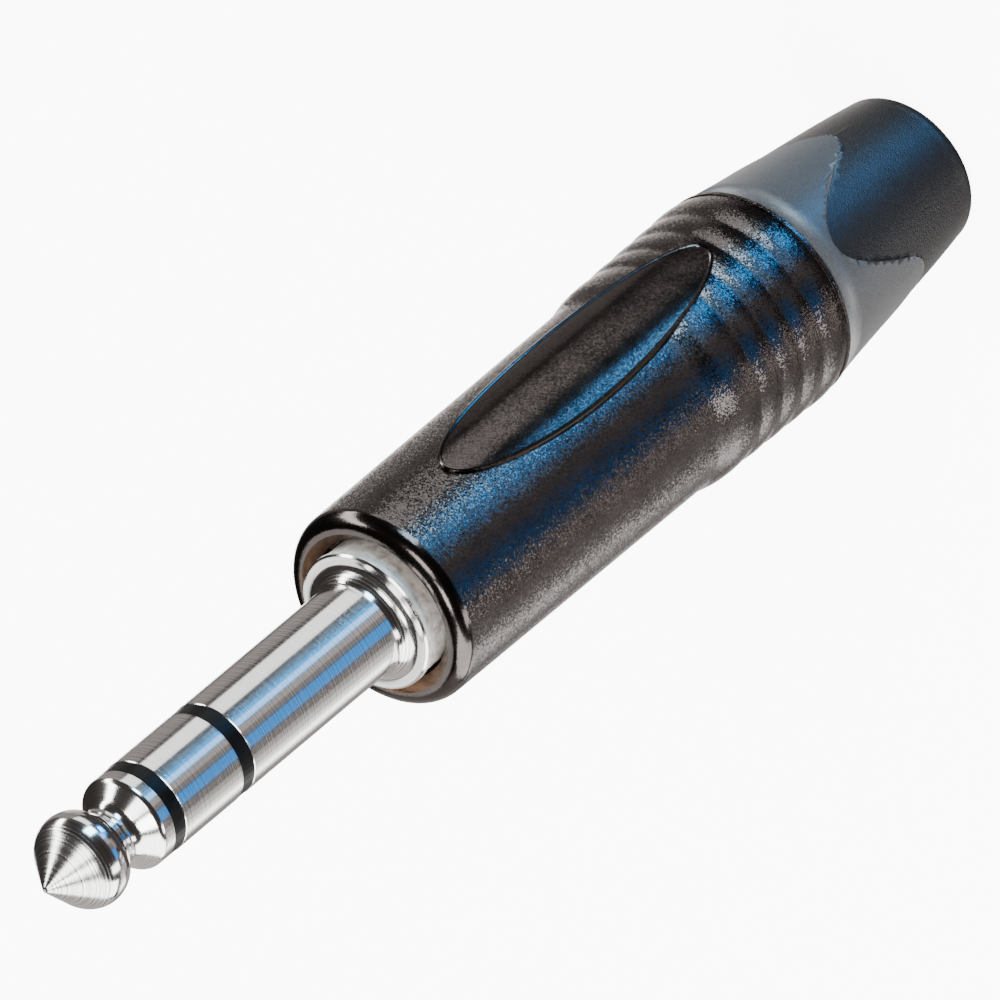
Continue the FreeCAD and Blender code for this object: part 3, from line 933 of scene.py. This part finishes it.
nickel = nickel_material("nickel_turned")
nickel_tip = nickel_material("nickel_tip", smooth=0.09, rough=0.20)
coarse_pitch = 0.16 * mm
coarse_depth = 0.006 * mm
nickel_nose = nickel_material("nickel_nose", coarse_pitch, coarse_depth, smooth=0.14, rough=0.28, dark=0.3)
nickel_face = nickel_material("nickel_face", coarse_pitch, coarse_depth, smooth=0.10, rough=0.25, dark=0.4)
cast_nickel = rough_nickel_material()
black_nylon = insulator_material("black_nylon", (0.004, 0.004, 0.004), (0.009, 0.008, 0.008), 0.3)
white_nylon = insulator_material("white_nylon", (0.78, 0.78, 0.75), (0.86, 0.86, 0.83), 0.4)
tinned = tag_material()
chrome = shell_material()
smooth_chrome = panel_material("black_chrome_smooth", (0.070, 0.060, 0.057), (0.085, 0.074, 0.070))
# A brown tint for the mouth's chamfer: a painted reflection of the warm surroundings, not the chrome's own
# colour.
mouth_painted_reflection_chrome = panel_material("black_chrome_painted_brown_reflection", (0.17, 0.10, 0.065), (0.24, 0.15, 0.10))
grey = bushing_material()
skin = boot_material()

flange_reach = reach("sleeve_contact")
tip = turned_piece("tip", tip_outline())
finish_piece(tip, "tip_contact", nickel_tip)
apex = high("tip_contact")
mark_faces(tip, nickel_nose, 0, flange_reach, apex - nose_length, apex)
finish_piece(turned_piece("ring", ring_outline()), "ring_contact", nickel)
sleeve = turned_piece("sleeve", sleeve_outline())
finish_piece(sleeve, "sleeve_contact", nickel)
face_height = high("shell") + collar_stand
face_start = reach("ring_contact") + face_margin
mark_faces(sleeve, nickel_face, face_start, flange_reach, face_height - hair, face_height + foot_fillet)
wall_start = collar_wall_radius - 2 * hair
wall_top = face_height - collar_edge
mark_faces(sleeve, cast_nickel, wall_start, flange_reach, low("sleeve_contact"), wall_top)
finish_piece(shell_piece(chrome, smooth_chrome, mouth_painted_reflection_chrome), "shell")

copied_looks = {
    "tip_spacer": black_nylon, "ring_spacer": black_nylon,
    "bushing": grey, "boot": skin, "chuck": white_nylon,
}
for node, look in copied_looks.items():
    finish_piece(smooth_copy(node, node + "_body"), node, look)

inner_looks = {
    "nickel": nickel, "black_insulator": black_nylon, "white_insulator": white_nylon,
    "tinned_tag": tinned, "clear_liner": white_nylon,
}
for node, cad in frame["nodes"].items():
    if slot_of[node] in inner_looks and not cad.hide_render:
        cad.data.materials.clear()
        cad.data.materials.append(inner_looks[slot_of[node]])
